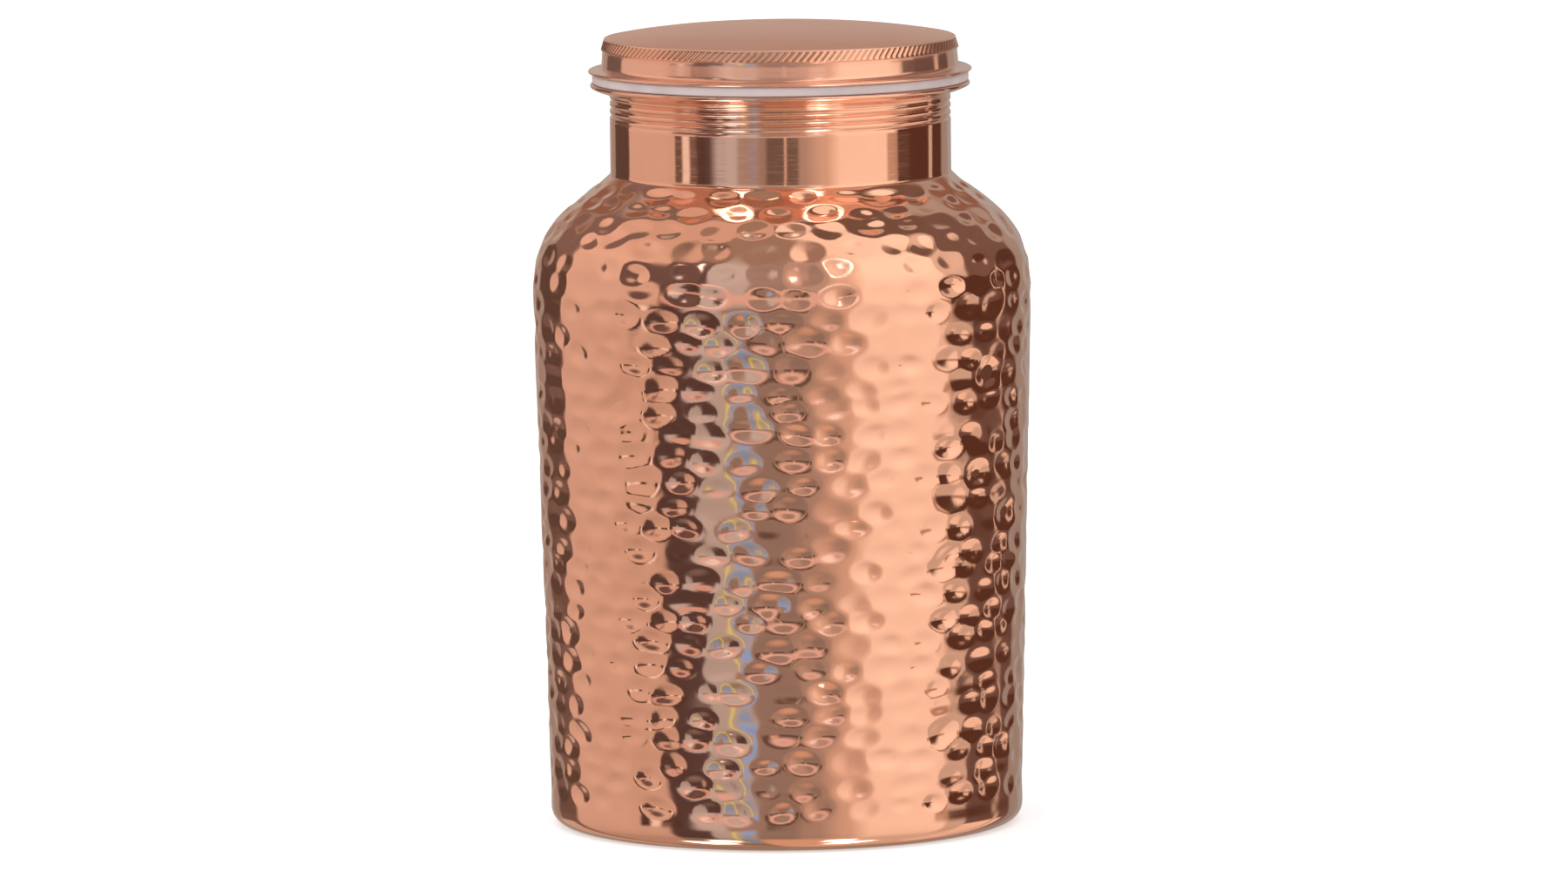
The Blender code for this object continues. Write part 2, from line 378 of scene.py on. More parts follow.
@dataclass(frozen=True)
class FilletFinish:
    """A bead of braze or solder, as it froze."""

    name: str
    bright: Colour = (0.72, 0.55, 0.30)
    oxide_and_shade: Colour = (0.34, 0.22, 0.14)
    roughness: float = 0.38
    roughness_spread: float = 0.2
    ripple_depth: float = 0.06

    def material(self) -> bpy.types.Material:
        """Make the material.

        Returns:
            The material.
        """
        material, sheet, shader = new_sheet(self.name)
        x, y, z = sheet.place()
        ripple = sheet.noise(sheet.vector(x, y, z), 0.8, 3.0)
        cloud = sheet.noise(sheet.vector(x, y, z), 0.2, 3.0)
        colour = sheet.mix(cloud.rise(0.45, 0.65), self.bright, self.oxide_and_shade)
        inputs = {
            "Base Color": colour,
            "Roughness": self.roughness + (ripple - 0.5) * self.roughness_spread,
            "Normal": sheet.bump(ripple, self.ripple_depth),
            "Metallic": 1.0,
        }
        sheet.feed(shader, inputs)
        return material


# Outlines


class Outline:
    """A turned piece's outline, drawn stretch by stretch down its outer side, in millimetres."""

    def __init__(self, radius: float, height: float) -> None:
        """Start at a point, by its distance from the axis and its height."""
        self.points: list[Point] = [(radius, height)]

    def line(self, radius: float, height: float, step: float = 1e9) -> Outline:
        """Draw straight to a point.

        Args:
            radius: The point's distance from the axis.
            height: The point's height.
            step: The longest gap between points on the way.

        Returns:
            This outline.
        """
        r0, h0 = self.points[-1]
        count = max(1, math.ceil(math.hypot(radius - r0, height - h0) / step))
        for i in range(1, count + 1):
            self.points.append((r0 + (radius - r0) * i / count, h0 + (height - h0) * i / count))
        return self

    def arc(self, centre: Point, size: float, start: float, end: float, count: int) -> Outline:
        """Draw an arc, with angles from outward (0) to up (90).

        Args:
            centre: The arc's centre.
            size: The arc's radius.
            start: The first angle, in degrees.
            end: The last angle, in degrees.
            count: How many pieces the arc has.

        Returns:
            This outline.
        """
        for i in range(count + 1):
            angle = math.radians(start + (end - start) * i / count)
            point = (centre[0] + size * math.cos(angle), centre[1] + size * math.sin(angle))
            if math.dist(point, self.points[-1]) > 1e-6:
                self.points.append(point)
        return self

    def curve(self, leave: Point, arrive: Point, end: Point, step: float) -> Outline:
        """Draw a cubic curve, in equal steps along its length.

        Args:
            leave: The point that it sets out towards.
            arrive: The point that it comes in from.
            end: Where it ends.
            step: The longest gap between points.

        Returns:
            This outline.
        """
        t = np.linspace(0.0, 1.0, 400)[:, None]
        corners = [np.array(p) for p in (self.points[-1], leave, arrive, end)]
        shares = ((1 - t) ** 3, 3 * (1 - t) ** 2 * t, 3 * (1 - t) * t**2, t**3)
        fine = sum(share * corner for share, corner in zip(shares, corners))
        lengths = np.concatenate([[0.0], np.cumsum(np.hypot(*np.diff(fine, axis=0).T))])
        count = math.ceil(lengths[-1] / step)
        wanted = np.linspace(0.0, lengths[-1], count + 1)[1:]
        radii = np.interp(wanted, lengths, fine[:, 0])
        heights = np.interp(wanted, lengths, fine[:, 1])
        self.points += list(zip(radii.tolist(), heights.tolist()))
        return self


@dataclass
class Lathe:
    """Turns outlines into meshes. An outline that starts on the axis is closed there."""

    columns: int = 192
    sharp_angle: float = 40.0

    def turn(self, name: str, outline: Outline, shaping: Shaping | None = None) -> bpy.types.Object:
        """Turn an outline.

        Args:
            name: The new piece's name.
            outline: Its outline.
            shaping: Given each point's angle, radius and height, how far to move it out and up.

        Returns:
            The new piece.
        """
        points = np.array(outline.points)
        on_axis = points[0, 0] < 1e-6
        inner = points[1:-1] if on_axis else points
        angles = np.arange(self.columns) * math.tau / self.columns
        angle = np.tile(angles, (len(inner), 1))
        radius = np.tile(inner[:, :1], (1, self.columns))
        height = np.tile(inner[:, 1:], (1, self.columns))
        if shaping is not None:
            out, up = shaping(angle, radius, height)
            radius = radius + out
            height = height + up
        grid = np.stack([radius * np.cos(angle), radius * np.sin(angle), height], axis=-1).reshape(-1, 3)
        rows = len(inner)
        faces = self.quads(rows, wrap=not on_axis)
        if on_axis:
            poles = np.array([[0.0, 0.0, points[0, 1]], [0.0, 0.0, points[-1, 1]]])
            grid = np.vstack([grid, poles])
            faces += self.fan(rows)
        mesh = bpy.data.meshes.new(name)
        mesh.from_pydata((grid * MM).tolist(), [], faces)
        mesh.shade_smooth()
        mesh.set_sharp_from_angle(angle=math.radians(self.sharp_angle))
        piece = bpy.data.objects.new(name, mesh)
        bpy.context.scene.collection.objects.link(piece)
        return piece

    def quads(self, rows: int, wrap: bool) -> list[list[int]]:
        """The faces between rings of points.

        Args:
            rows: How many rings there are.
            wrap: Whether the last ring joins the first.

        Returns:
            Four point numbers for each face.
        """
        count = rows if wrap else rows - 1
        i = np.arange(count)[:, None]
        j = np.arange(self.columns)[None, :]
        below = (i + 1) % rows
        beside = (j + 1) % self.columns
        corners = [i * self.columns + j, below * self.columns + j, below * self.columns + beside]
        corners.append(i * self.columns + beside)
        return np.stack(np.broadcast_arrays(*corners), axis=-1).reshape(-1, 4).tolist()

    def fan(self, rows: int) -> list[list[int]]:
        """The triangles that close the first and last rings on the axis.

        Args:
            rows: How many rings there are.

        Returns:
            Three point numbers for each triangle.
        """
        j = np.arange(self.columns)
        beside = (j + 1) % self.columns
        top = np.full(self.columns, rows * self.columns)
        last = (rows - 1) * self.columns
        opening = np.stack([top, j, beside], axis=-1)
        closing = np.stack([top + 1, last + beside, last + j], axis=-1)
        return np.vstack([opening, closing]).tolist()


def dress(piece: bpy.types.Object, material: bpy.types.Material, body: str, slot: str, *nodes: str) -> None:
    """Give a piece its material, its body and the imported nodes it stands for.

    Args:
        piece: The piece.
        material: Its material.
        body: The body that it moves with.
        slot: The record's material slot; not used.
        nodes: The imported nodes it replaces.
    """
    piece.data.materials.append(material)
    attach(piece, body)
    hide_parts(*nodes)
    LOG.info("%s rides on %s, %d faces", piece.name, body, len(piece.data.polygons))


# Hammer work


@dataclass(frozen=True)
class HammerWork:
    """The marks of a ball-faced hammer: shallow ovals in ragged courses, on a gently uneven sheet."""

    course_gap: float = 6.15
    mark_gap: float = 10.9
    half_width: float = 5.5
    half_height: float = 3.45
    depth: float = 0.56
    rim_power: float = 1.8
    drift_across: float = 1.25
    drift_down: float = 0.55
    sway: float = 0.8
    size_spread: float = 0.13
    depth_spread: float = 0.25
    lean_spread: float = 0.10
    heavy_share: float = 0.015
    heavy_size: float = 1.45
    light_share: float = 0.05
    light_depth: float = 0.3
    unevenness: float = 0.14
    slow_waves: int = 26
    seed: int = 11

    def marks(self, lengths: Grid, radii: Grid) -> list[tuple[float, ...]]:
        """Place every mark.

        Args:
            lengths: Distance along the outline at each row, from the top.
            radii: The radius at each row.

        Returns:
            Angle, distance, half width, half height, depth and lean of each mark.
        """
        rng = np.random.default_rng(self.seed)
        placed = []
        course = lengths[0] + 3.6
        shift = 0.0
        while course < lengths[-1] - 3.0:
            radius = float(np.interp(course, lengths, radii))
            count = round(math.tau * radius / self.mark_gap)
            shift += 0.5 * math.tau / count + rng.normal(0.0, 0.03)
            drift = rng.uniform(0.0, math.tau)
            for i in range(count):
                angle = shift + math.tau * i / count + rng.normal(0.0, self.drift_across) / radius
                sway = self.sway * math.sin(3.0 * angle + drift)
                distance = course + sway + rng.normal(0.0, self.drift_down)
                size = float(np.clip(rng.normal(1.0, self.size_spread), 0.65, 1.35))
                if rng.random() < self.heavy_share:
                    size *= self.heavy_size
                depth = self.depth * size * float(np.clip(rng.normal(1.0, self.depth_spread), 0.35, 1.5))
                if rng.random() < self.light_share:
                    depth *= self.light_depth
                wide = self.half_width * size * rng.uniform(0.85, 1.12)
                tall = self.half_height * size * rng.uniform(0.9, 1.12)
                lean = rng.normal(0.0, self.lean_spread)
                placed.append((angle % math.tau, distance, wide, tall, depth, lean))
            course += self.course_gap + rng.normal(0.0, 0.15)
        return placed

    def sunk(self, columns: int, lengths: Grid, radii: Grid) -> Grid:
        """How deep the hammered face lies at each point of a grid.

        Args:
            columns: Points in each ring.
            lengths: Distance along the outline at each row.
            radii: The radius at each row.

        Returns:
            Depths in millimetres, by row and column.
        """
        depth = np.zeros((len(lengths), columns))
        pitch = math.tau / columns
        for angle, distance, wide, tall, deep, lean in self.marks(lengths, radii):
            radius = float(np.interp(distance, lengths, radii))
            first, last = np.searchsorted(lengths, (distance - 1.1 * tall, distance + 1.1 * tall))
            span = math.ceil(1.1 * wide / radius / pitch)
            middle = round(angle / pitch)
            column = np.arange(middle - span, middle + span + 1)
            along = (column * pitch - angle)[None, :] * radii[first:last, None]
            down = (lengths[first:last] - distance)[:, None]
            inside = 1.0 - ((along + lean * down) / wide) ** 2 - ((down - lean * along) / tall) ** 2
            bowl = deep * np.clip(inside, 0.0, 1.0) ** self.rim_power
            window = np.ix_(np.arange(first, last), column % columns)
            depth[window] = np.hypot(depth[window], bowl)
        return depth

    def uneven(self, angle: Grid, lengths: Grid) -> Grid:
        """The sheet's own slow waves, which bend what it reflects.

        Args:
            angle: Angle of each point, by row and column.
            lengths: Distance along the outline at each row.

        Returns:
            Heights in millimetres, by row and column.
        """
        rng = np.random.default_rng(self.seed + 1)
        height = np.zeros_like(angle)
        for _ in range(self.slow_waves):
            around = int(rng.integers(5, 24))
            down = rng.uniform(-1.0, 1.0) * math.tau / rng.uniform(14.0, 40.0)
            phase = rng.uniform(0.0, math.tau)
            wave = np.sin(around * angle + down * lengths[:, None] + phase)
            height += rng.uniform(0.4, 1.0) / around * wave
        return height * self.unevenness


# The jug


@dataclass
class Vessel:
    """The hammered wall and the bottom plate set into its foot."""

    sheet: float = 1.0
    top_radius: float = 45.3
    top_height: float = 172.05
    shoulder: Point = (65.95, 141.75)
    shoulder_lower_pull: float = 19.1
    shoulder_upper_pull: Point = (7.8, 6.7)
    foot_radius: float = 62.45
    foot_corner: float = 4.5
    flange_radius: float = 52.0
    columns: int = 320
    row_gap: float = 0.65
    hammer: HammerWork = HammerWork()

    def outer(self) -> Outline:
        """The wall's outer side, from the neck down to the flange under the foot.

        Returns:
            The outline.
        """
        top = (self.top_radius, self.top_height)
        outline = Outline(*top)
        leave = (top[0] + self.shoulder_upper_pull[0], top[1] - self.shoulder_upper_pull[1])
        arrive = (self.shoulder[0], self.shoulder[1] + self.shoulder_lower_pull)
        outline.curve(leave, arrive, self.shoulder, self.row_gap)
        outline.line(self.foot_radius, self.foot_corner, self.row_gap)
        centre = (self.foot_radius - self.foot_corner, self.foot_corner)
        outline.arc(centre, self.foot_corner, 0.0, -90.0, 10)
        return outline.line(self.flange_radius, 0.0, 3.0)

    def normals(self, points: Grid) -> Grid:
        """Outward directions along an outline.

        Args:
            points: The outline's points.

        Returns:
            A unit direction for each point.
        """
        run = np.gradient(points, axis=0)
        out = np.stack([-run[:, 1], run[:, 0]], axis=-1)
        return out / np.linalg.norm(out, axis=1, keepdims=True)

    def build_wall(self) -> bpy.types.Object:
        """Make the hammered wall.

        Returns:
            The wall.
        """
        outer = np.array(self.outer().points)
        normals = self.normals(outer)
        inner = (outer - normals * self.sheet)[::-1][:: 12]
        rim = (self.top_radius, self.top_height - 1.3 * self.sheet)
        outline = Outline(*outer[0])
        outline.points = outer.tolist() + [tuple(p) for p in inner if p[0] > rim[0]] + [rim]
        lengths = np.concatenate([[0.0], np.cumsum(np.hypot(*np.diff(outer, axis=0).T))])
        hammered = outer[:, 1] > self.foot_corner
        rows = int(hammered.sum())
        below_neck = np.clip((lengths[:rows] - 0.8) / 2.2, 0.0, 1.0)
        above_foot = np.clip((outer[:rows, 1] - 5.6) / 3.0, 0.0, 1.0)
        fade = (below_neck * above_foot)[:, None]

        def shaping(angle: Grid, radius: Grid, height: Grid) -> Shift:
            """Sink the marks into the hammered rows."""
            sunk = self.hammer.sunk(self.columns, lengths[:rows], outer[:rows, 0])
            waves = self.hammer.uneven(angle[:rows], lengths[:rows])
            depth = (sunk + waves.max() - waves) * fade
            shift = np.zeros((2, *radius.shape))
            shift[:, :rows] = -depth * normals[:rows].T[:, :, None]
            return shift[0], shift[1]

        return Lathe(self.columns).turn("hammered_wall", outline, shaping)

    def build_plate(self) -> bpy.types.Object:
        """Make the bottom plate, with the shallow rings that the lathe left under it.

        Returns:
            The plate.
        """
        low, high = self.sheet + 0.05, 2.0 * self.sheet + 0.3
        outline = Outline(0.0, high).line(58.9, high, 2.0).arc((58.9, high - 0.3), 0.3, 90.0, 0.0, 3)
        outline.arc((58.9, low + 0.3), 0.3, 0.0, -90.0, 3).line(0.0, low, 1.5)

        def shaping(angle: Grid, radius: Grid, height: Grid) -> Shift:
            """Raise slow rings on the underside."""
            under = height < (low + high) / 2
            rings = 0.02 * np.sin(radius * 1.9) * np.clip((57.0 - radius) / 6.0, 0.0, 1.0)
            return np.zeros_like(radius), np.where(under, rings, 0.0)

        return Lathe().turn("bottom_plate", outline, shaping)

    def build_braze(self) -> bpy.types.Object:
        """Make the braze in the corner above the bottom plate.

        Returns:
            The bead.
        """
        outline = Outline(61.3, 4.4).line(61.25, 3.4).line(60.5, 2.5).line(58.2, 2.35)
        outline.curve((59.6, 2.6), (61.0, 3.3), (61.3, 4.4), 0.4)
        outline.points.pop()
        return Lathe().turn("bottom_braze", outline, bead_ripple(0.10, 41))

    def build(self) -> None:
        """Make and dress the wall, the plate and its braze."""
        hammered = CopperFinish("copper_hammered_mirror", roughness=0.085, line_depth=0.0018).material()
        plate = CopperFinish("copper_lathe_turned", roughness=0.22, lay=Lay.FACING, line_depth=0.004)
        braze = FilletFinish("braze_bead").material()
        dress(self.build_wall(), hammered, "vessel", "copper_hammered", "body_wall")
        dress(self.build_plate(), plate.material(), "vessel", "copper_polished", "base_disc")
        dress(self.build_braze(), braze, "vessel", "braze", "base_braze_ring")


def bead_ripple(size: float, seed: int) -> Shaping:
    """The ripples of a bead that was laid by hand.

    Args:
        size: Their height, in millimetres.
        seed: Picks the pattern.

    Returns:
        A shaping for a lathe.
    """
    rng = np.random.default_rng(seed)
    waves = [(int(rng.integers(20, 90)), rng.uniform(0.0, math.tau)) for _ in range(6)]

    def shaping(angle: Grid, radius: Grid, height: Grid) -> Shift:
        """Pull the bead's face in and out."""
        ripple = sum(np.sin(count * angle + phase) for count, phase in waves) / len(waves)
        return -size * np.abs(ripple), -size * np.abs(ripple)

    return shaping


@dataclass(frozen=True)
class Thread:
    """The right-hand thread that is rolled through the neck, and the plug's that runs in it."""

    pitch: float = 2.0
    depth: float = 0.6
    bottom: float = 186.2
    top: float = 193.0
    run_out: float = 0.8
    row_gap: float = 0.125

    def wave(self, angle: Grid, height: Grid) -> Grid:
        """Height of the thread at each point, from 0 at its root to 1 at its crest."""
        rounded = np.sqrt(0.98 * np.cos(math.pi * height / self.pitch - angle / 2) ** 2 + 0.02)
        return 1.0 - (1.0 - rounded) ** 1.2

    def fade(self, height: Grid) -> Grid:
        """How much of the thread there is at a height, from 0 past its ends to 1."""
        return np.clip(np.minimum(height - self.bottom, self.top - height) / self.run_out, 0.0, 1.0)


@dataclass
class Neck:
    """The spun neck with its rolled thread and flared lip."""

    radius: float = 45.0
    sheet: float = 0.8
    bottom: float = 168.4
    shoulder_height: float = 172.05
    lip_start: float = 193.2
    lip_radius: float = 50.1
    lip_top: float = 196.4
    lip_edge: float = 0.62
    land_radius: float = 46.2
    throat: float = 194.0
    unevenness: float = 0.035
    columns: int = THREAD_COLUMNS
    thread: Thread = Thread()

    def build_collar(self) -> bpy.types.Object:
        """Make the collar.

        Returns:
            The collar.
        """
        gap = self.thread.row_gap
        tip = (self.lip_radius - self.lip_edge, self.lip_top - self.lip_edge)
        inner = self.radius - self.sheet
        outline = Outline(self.land_radius, self.lip_top).line(tip[0], self.lip_top, 1.0)
        outline.arc(tip, self.lip_edge, 90.0, -60.0, 10)
        outline.curve((48.2, 194.3), (45.6, 193.9), (self.radius, self.lip_start), 0.3)
        outline.line(self.radius, self.thread.bottom, gap)
        seam = self.shoulder_height
        outline.line(self.radius, seam + 1.1, 1.0)
        outline.curve((self.radius, seam + 0.5), (45.1, seam + 0.1), (45.5, 171.9), 0.2)
        outline.line(self.radius, 171.4).line(self.radius, self.bottom).line(inner, self.bottom)
        outline.line(inner, self.thread.bottom, 2.0).line(inner, self.thread.top, gap)
        outline.line(inner, self.throat)
        rng = np.random.default_rng(5)
        waves = [
            (int(rng.integers(4, 15)), rng.uniform(-0.25, 0.25), rng.uniform(0, math.tau)) for _ in range(9)
        ]

        def shaping(angle: Grid, radius: Grid, height: Grid) -> Shift:
            """Roll the thread and leave the spinner's slow waves."""
            thread = -self.thread.depth * (1.0 - self.thread.wave(angle, height)) * self.thread.fade(height)
            on_neck = np.clip((height - 173.0) / 2.0, 0.0, 1.0) * np.clip((192.0 - height) / 3.0, 0.0, 1.0)
            slow = sum(np.sin(n * angle + tilt * height + phase) / n for n, tilt, phase in waves)
            return thread + self.unevenness * slow * on_neck, np.zeros_like(height)

        return Lathe(self.columns, 50.0).turn("spun_neck", outline, shaping)

    def build_braze(self) -> bpy.types.Object:
        """Make the braze inside the shoulder.

        Returns:
            The bead.
        """
        outline = Outline(45.1, 170.45).line(45.9, 169.85, 0.4).line(46.9, 169.0, 0.4)
        outline.curve((46.0, 169.0), (45.3, 168.9), (45.1, 168.75), 0.4)
        return Lathe().turn("neck_braze", outline, bead_ripple(0.06, 42))

    def build(self) -> None:
        """Make and dress the collar and its braze."""
        polished = CopperFinish(
            "copper_spun_polished", roughness=0.09, line_depth=0.003, brushing=0.85, scratch_depth=0.004
        ).material()
        braze = FilletFinish("braze_bead_neck").material()
        dress(self.build_collar(), polished, "vessel", "copper_polished", "neck_collar")
        dress(self.build_braze(), braze, "vessel", "braze", "neck_braze_ring")


@dataclass
class Seal:
    """The silicone ring that the lid squeezes onto the lip."""

    inner: float = 44.2
    outer: float = 49.65
    bottom: float = 196.45
    top: float = 199.05
    edge: float = 0.55

    def build(self) -> None:
        """Make and dress the ring."""
        edge = self.edge
        outline = Outline(self.outer - edge, self.top)
        outline.arc((self.outer - edge, self.top - edge), edge, 90.0, 0.0, 5)
        outline.arc((self.outer - edge, self.bottom + edge), edge, 0.0, -90.0, 5)
        outline.line(self.inner + edge, self.bottom, 1.5)
        outline.arc((self.inner + edge, self.bottom + edge), edge, -90.0, -180.0, 3)
        outline.arc((self.inner + edge, self.top - edge), edge, 180.0, 90.0, 3)
        outline.line(self.outer - edge, self.top, 1.5)
        outline.points.pop()
        piece = Lathe().turn("silicone_ring", outline, squeeze)
        dress(piece, SiliconeFinish("silicone_milky").material(), "seal", "silicone_white", "sealing_ring")


def squeeze(angle: Grid, radius: Grid, height: Grid) -> Shift:
    """Let the ring bulge a little unevenly where it is squeezed."""
    bulge = 0.05 * np.sin(3 * angle + 1.0) + 0.04 * np.sin(7 * angle + 2.0) + 0.02 * np.sin(17 * angle)
    return np.where(radius > 48.5, bulge, 0.0), np.zeros_like(height)


@dataclass
class Lid:
    """The lid: domed cap with its knurled band and brim, threaded plug, and the solder between."""

    sheet: float = 0.8
    crown_top: float = 211.5
    crown_power: float = 2.64
    band_top: Point = (46.35, 208.2)
    band_bottom: Point = (47.2, 205.3)
    wall_radius: float = 47.05
    wall_draft: float = 0.26
    brim_radius: float = 50.6
    brim_under: float = 199.1
    cove: float = 1.55
    knurls: int = 156
    knurl_depth: float = 0.24
    columns_per_knurl: int = 6
    plug_bottom: float = 184.6
    plug_inner: float = 42.3
    plug_root: float = 43.25
    flange: float = 46.2
    thread: Thread = Thread()

    def crown_height(self, radius: float) -> float:
        """Height of the domed top at a radius."""
        fall = (self.crown_top - self.band_top[1]) * (radius / self.band_top[0]) ** self.crown_power
        return self.crown_top - fall

    def build_cap(self) -> bpy.types.Object:
        """Make the cap.

        Returns:
            The cap.
        """
        outline = Outline(0.0, self.crown_top)
        edge = self.band_top[0] - 0.45
        for radius in np.linspace(0.0, edge, 20)[1:].tolist():
            outline.line(radius, self.crown_height(radius))
        outline.curve((edge + 0.3, self.crown_height(edge) - 0.07), (46.3, 208.2), (46.42, 207.9), 0.12)
        outline.line(*self.band_bottom, 0.21)
        wall_top = self.wall_radius - self.wall_draft
        outline.curve((47.25, 205.15), (wall_top, 205.2), (wall_top, 204.95), 0.12)
        brim_top = self.brim_under + self.sheet
        centre = (self.wall_radius + self.cove, brim_top + self.cove)
        outline.line(self.wall_radius, centre[1], 1.5)
        outline.arc(centre, self.cove, 180.0, 262.0, 9)
        half = self.sheet / 2
        outline.arc((self.brim_radius - half, brim_top - half), half, 82.0, -90.0, 9)
        outline.arc(centre, self.cove + self.sheet, 270.0, 180.0, 6)
        inner = self.wall_radius - self.sheet
        outline.line(inner, 205.3).line(self.band_top[0] - self.sheet, self.band_top[1] - self.sheet)
        for radius in np.linspace(self.band_top[0] - 2 * self.sheet, 0.0, 8).tolist():
            outline.line(radius, self.crown_height(radius) - self.sheet)
        return Lathe(self.knurls * self.columns_per_knurl, 50.0).turn("lid_cap_shell", outline, self.knurl)

    def knurl(self, angle: Grid, radius: Grid, height: Grid) -> Shift:
        """Press the slanting grooves into the band.

        Args:
            angle: Angle of each point.
            radius: Radius of each point.
            height: Height of each point.

        Returns:
            How far to move each point out and up.
        """
        low, high = self.band_bottom[1], self.band_top[1] - 0.25
        within = np.clip((height - low - 0.05) / 0.3, 0.0, 1.0) * np.clip((high - height) / 0.35, 0.0, 1.0)
        outer = radius > self.band_top[0] - 0.3
        slant = (height - low) / self.wall_radius
        groove = 0.5 - 0.5 * np.cos(self.knurls * (angle - slant))
        return np.where(outer, -self.knurl_depth * groove**1.5 * within, 0.0), np.zeros_like(height)

    def build_plug(self) -> bpy.types.Object:
        """Make the threaded plug.

        Returns:
            The plug.
        """
        floor = self.plug_bottom + self.sheet
        flange_top = self.brim_under + self.sheet
        outline = Outline(0.0, floor).line(self.plug_inner - 0.8, floor, 6.0)
        outline.line(self.plug_inner, floor + 0.8).line(self.plug_inner, flange_top, 4.0)
        outline.line(self.flange, flange_top).line(self.flange, self.brim_under)
        outline.line(self.plug_root, self.brim_under).line(self.plug_root, self.thread.top, 1.0)
        outline.line(self.plug_root, self.thread.bottom, self.thread.row_gap)
        outline.arc((self.plug_root - 0.8, self.plug_bottom + 0.8), 0.8, 0.0, -90.0, 5)
        outline.line(0.0, self.plug_bottom, 2.0)

        def shaping(angle: Grid, radius: Grid, height: Grid) -> Shift:
            """Roll the thread on the outer side."""
            outer = radius > (self.plug_inner + self.plug_root) / 2
            thread = self.thread.depth * self.thread.wave(angle, height) * self.thread.fade(height)
            return np.where(outer, thread, 0.0), np.zeros_like(height)

        return Lathe(THREAD_COLUMNS, 50.0).turn("lid_threaded_plug", outline, shaping)

    def build_solder(self) -> bpy.types.Object:
        """Make the solder between the plug's flange and the cap.

        Returns:
            The bead.
        """
        outline = Outline(46.1, 201.6).line(46.1, 200.0, 0.6).line(44.6, 199.98, 0.6)
        outline.curve((45.3, 200.1), (45.95, 200.7), (46.1, 201.6), 0.4)
        outline.points.pop()
        return Lathe().turn("lid_solder", outline, bead_ripple(0.06, 43))

    def build(self) -> None:
        """Make and dress the cap, the plug and the solder."""
        brushed = CopperFinish(
            "copper_lid_wall",
            roughness=0.14,
            line_depth=0.004,
            brushing=0.95,
            scratch_depth=0.006,
            metal_share=0.95,
        )
        knurled = KnurledFinish(
            "copper_lid_knurl", roughness=0.19, line_depth=0.003, knurls=self.knurls, foot=self.band_bottom[1]
        )
        satin = CopperFinish(
            "copper_lid_crown", roughness=0.34, line_depth=0.006, lay=Lay.FACING, metal_share=0.9
        )
        polished = CopperFinish("copper_plug", roughness=0.14, line_depth=0.003).material()
        solder = FilletFinish("solder_bead", (0.62, 0.60, 0.57), (0.38, 0.35, 0.32)).material()
        cap = self.build_cap()
        dress(cap, brushed.material(), "lid", "copper_satin", "lid_cap")
        cap.data.materials.append(knurled.material())
        cap.data.materials.append(satin.material())
        for face in cap.data.polygons:
            on_band = face.center.z > self.band_bottom[1] * MM
            face.material_index = int(on_band) + int(face.center.z > (self.band_top[1] - 0.25) * MM)
        dress(self.build_plug(), polished, "lid", "copper_polished", "lid_plug")
        dress(self.build_solder(), solder, "lid", "solder", "lid_solder_ring")


# The studio


@dataclass(frozen=True)
class Band:
    """One upright strip of the studio's walls: where it ends, going right, and how bright it is."""

    until: float
    colour: Colour
    soft: float = 1.0


class Tier(Enum):
    """The studio's walls, low down to high up, each from behind the jug on its left side."""

    LOW = (
        Band(-140.0, (0.45, 0.44, 0.43)),
        Band(-124.0, (0.30, 0.25, 0.23)),
        Band(-62.0, (0.66, 0.55, 0.50)),
        Band(-15.0, (0.36, 0.34, 0.34), 6.0),
        Band(40.0, (0.95, 0.72, 0.58)),
        Band(95.0, (0.98, 0.88, 0.82)),
        Band(135.0, (0.95, 0.80, 0.70)),
        Band(180.0, (0.50, 0.47, 0.45)),
    )
    LEVEL = (
        Band(-163.0, (0.48, 0.51, 0.54)),
        Band(-148.0, (0.40, 0.37, 0.37)),
        Band(-125.0, (0.21, 0.165, 0.165)),
        Band(-82.0, (0.74, 0.63, 0.59)),
        Band(-59.0, (0.72, 0.61, 0.56)),
        Band(-37.0, (0.115, 0.085, 0.09)),
        Band(-15.0, (0.54, 0.62, 0.69), 3.0),
        Band(6.0, (0.34, 0.32, 0.32), 5.0),
        Band(22.0, (0.47, 0.42, 0.40), 12.0),
        Band(36.0, (0.75, 0.64, 0.57), 10.0),
        Band(84.0, (1.13, 1.06, 1.01)),
        Band(98.0, (0.74, 0.69, 0.65)),
        Band(140.0, (0.18, 0.13, 0.125)),
        Band(155.0, (0.38, 0.39, 0.40)),
        Band(180.0, (0.43, 0.49, 0.55)),
    )
    HIGH = (
        Band(-140.0, (0.42, 0.42, 0.42)),
        Band(-127.0, (0.20, 0.18, 0.17)),
        Band(-62.0, (0.62, 0.50, 0.45), 8.0),
        Band(22.0, (0.32, 0.27, 0.24), 12.0),
        Band(86.0, (0.98, 0.92, 0.88)),
        Band(136.0, (0.16, 0.12, 0.10)),
        Band(180.0, (0.45, 0.45, 0.46)),
    )


@dataclass(frozen=True)
class Window:
    """A lamp, a gap or a dark stand on the walls: how far right and up it reaches, and its colour."""

    left: float
    right: float
    bottom: float
    top: float
    colour: Colour
    blur: float = 0.6
    feather: float = 2.0


SOFT_WHITE: Colour = (0.72, 0.66, 0.62)
STRIP_LIGHT: Colour = (7.0, 8.0, 9.0)
SKYLIGHT: Colour = (2.30, 2.50, 2.80)
WARM_GAP: Colour = (0.25, 0.155, 0.115)
CEILING: Colour = (1.3, 1.3, 1.3)

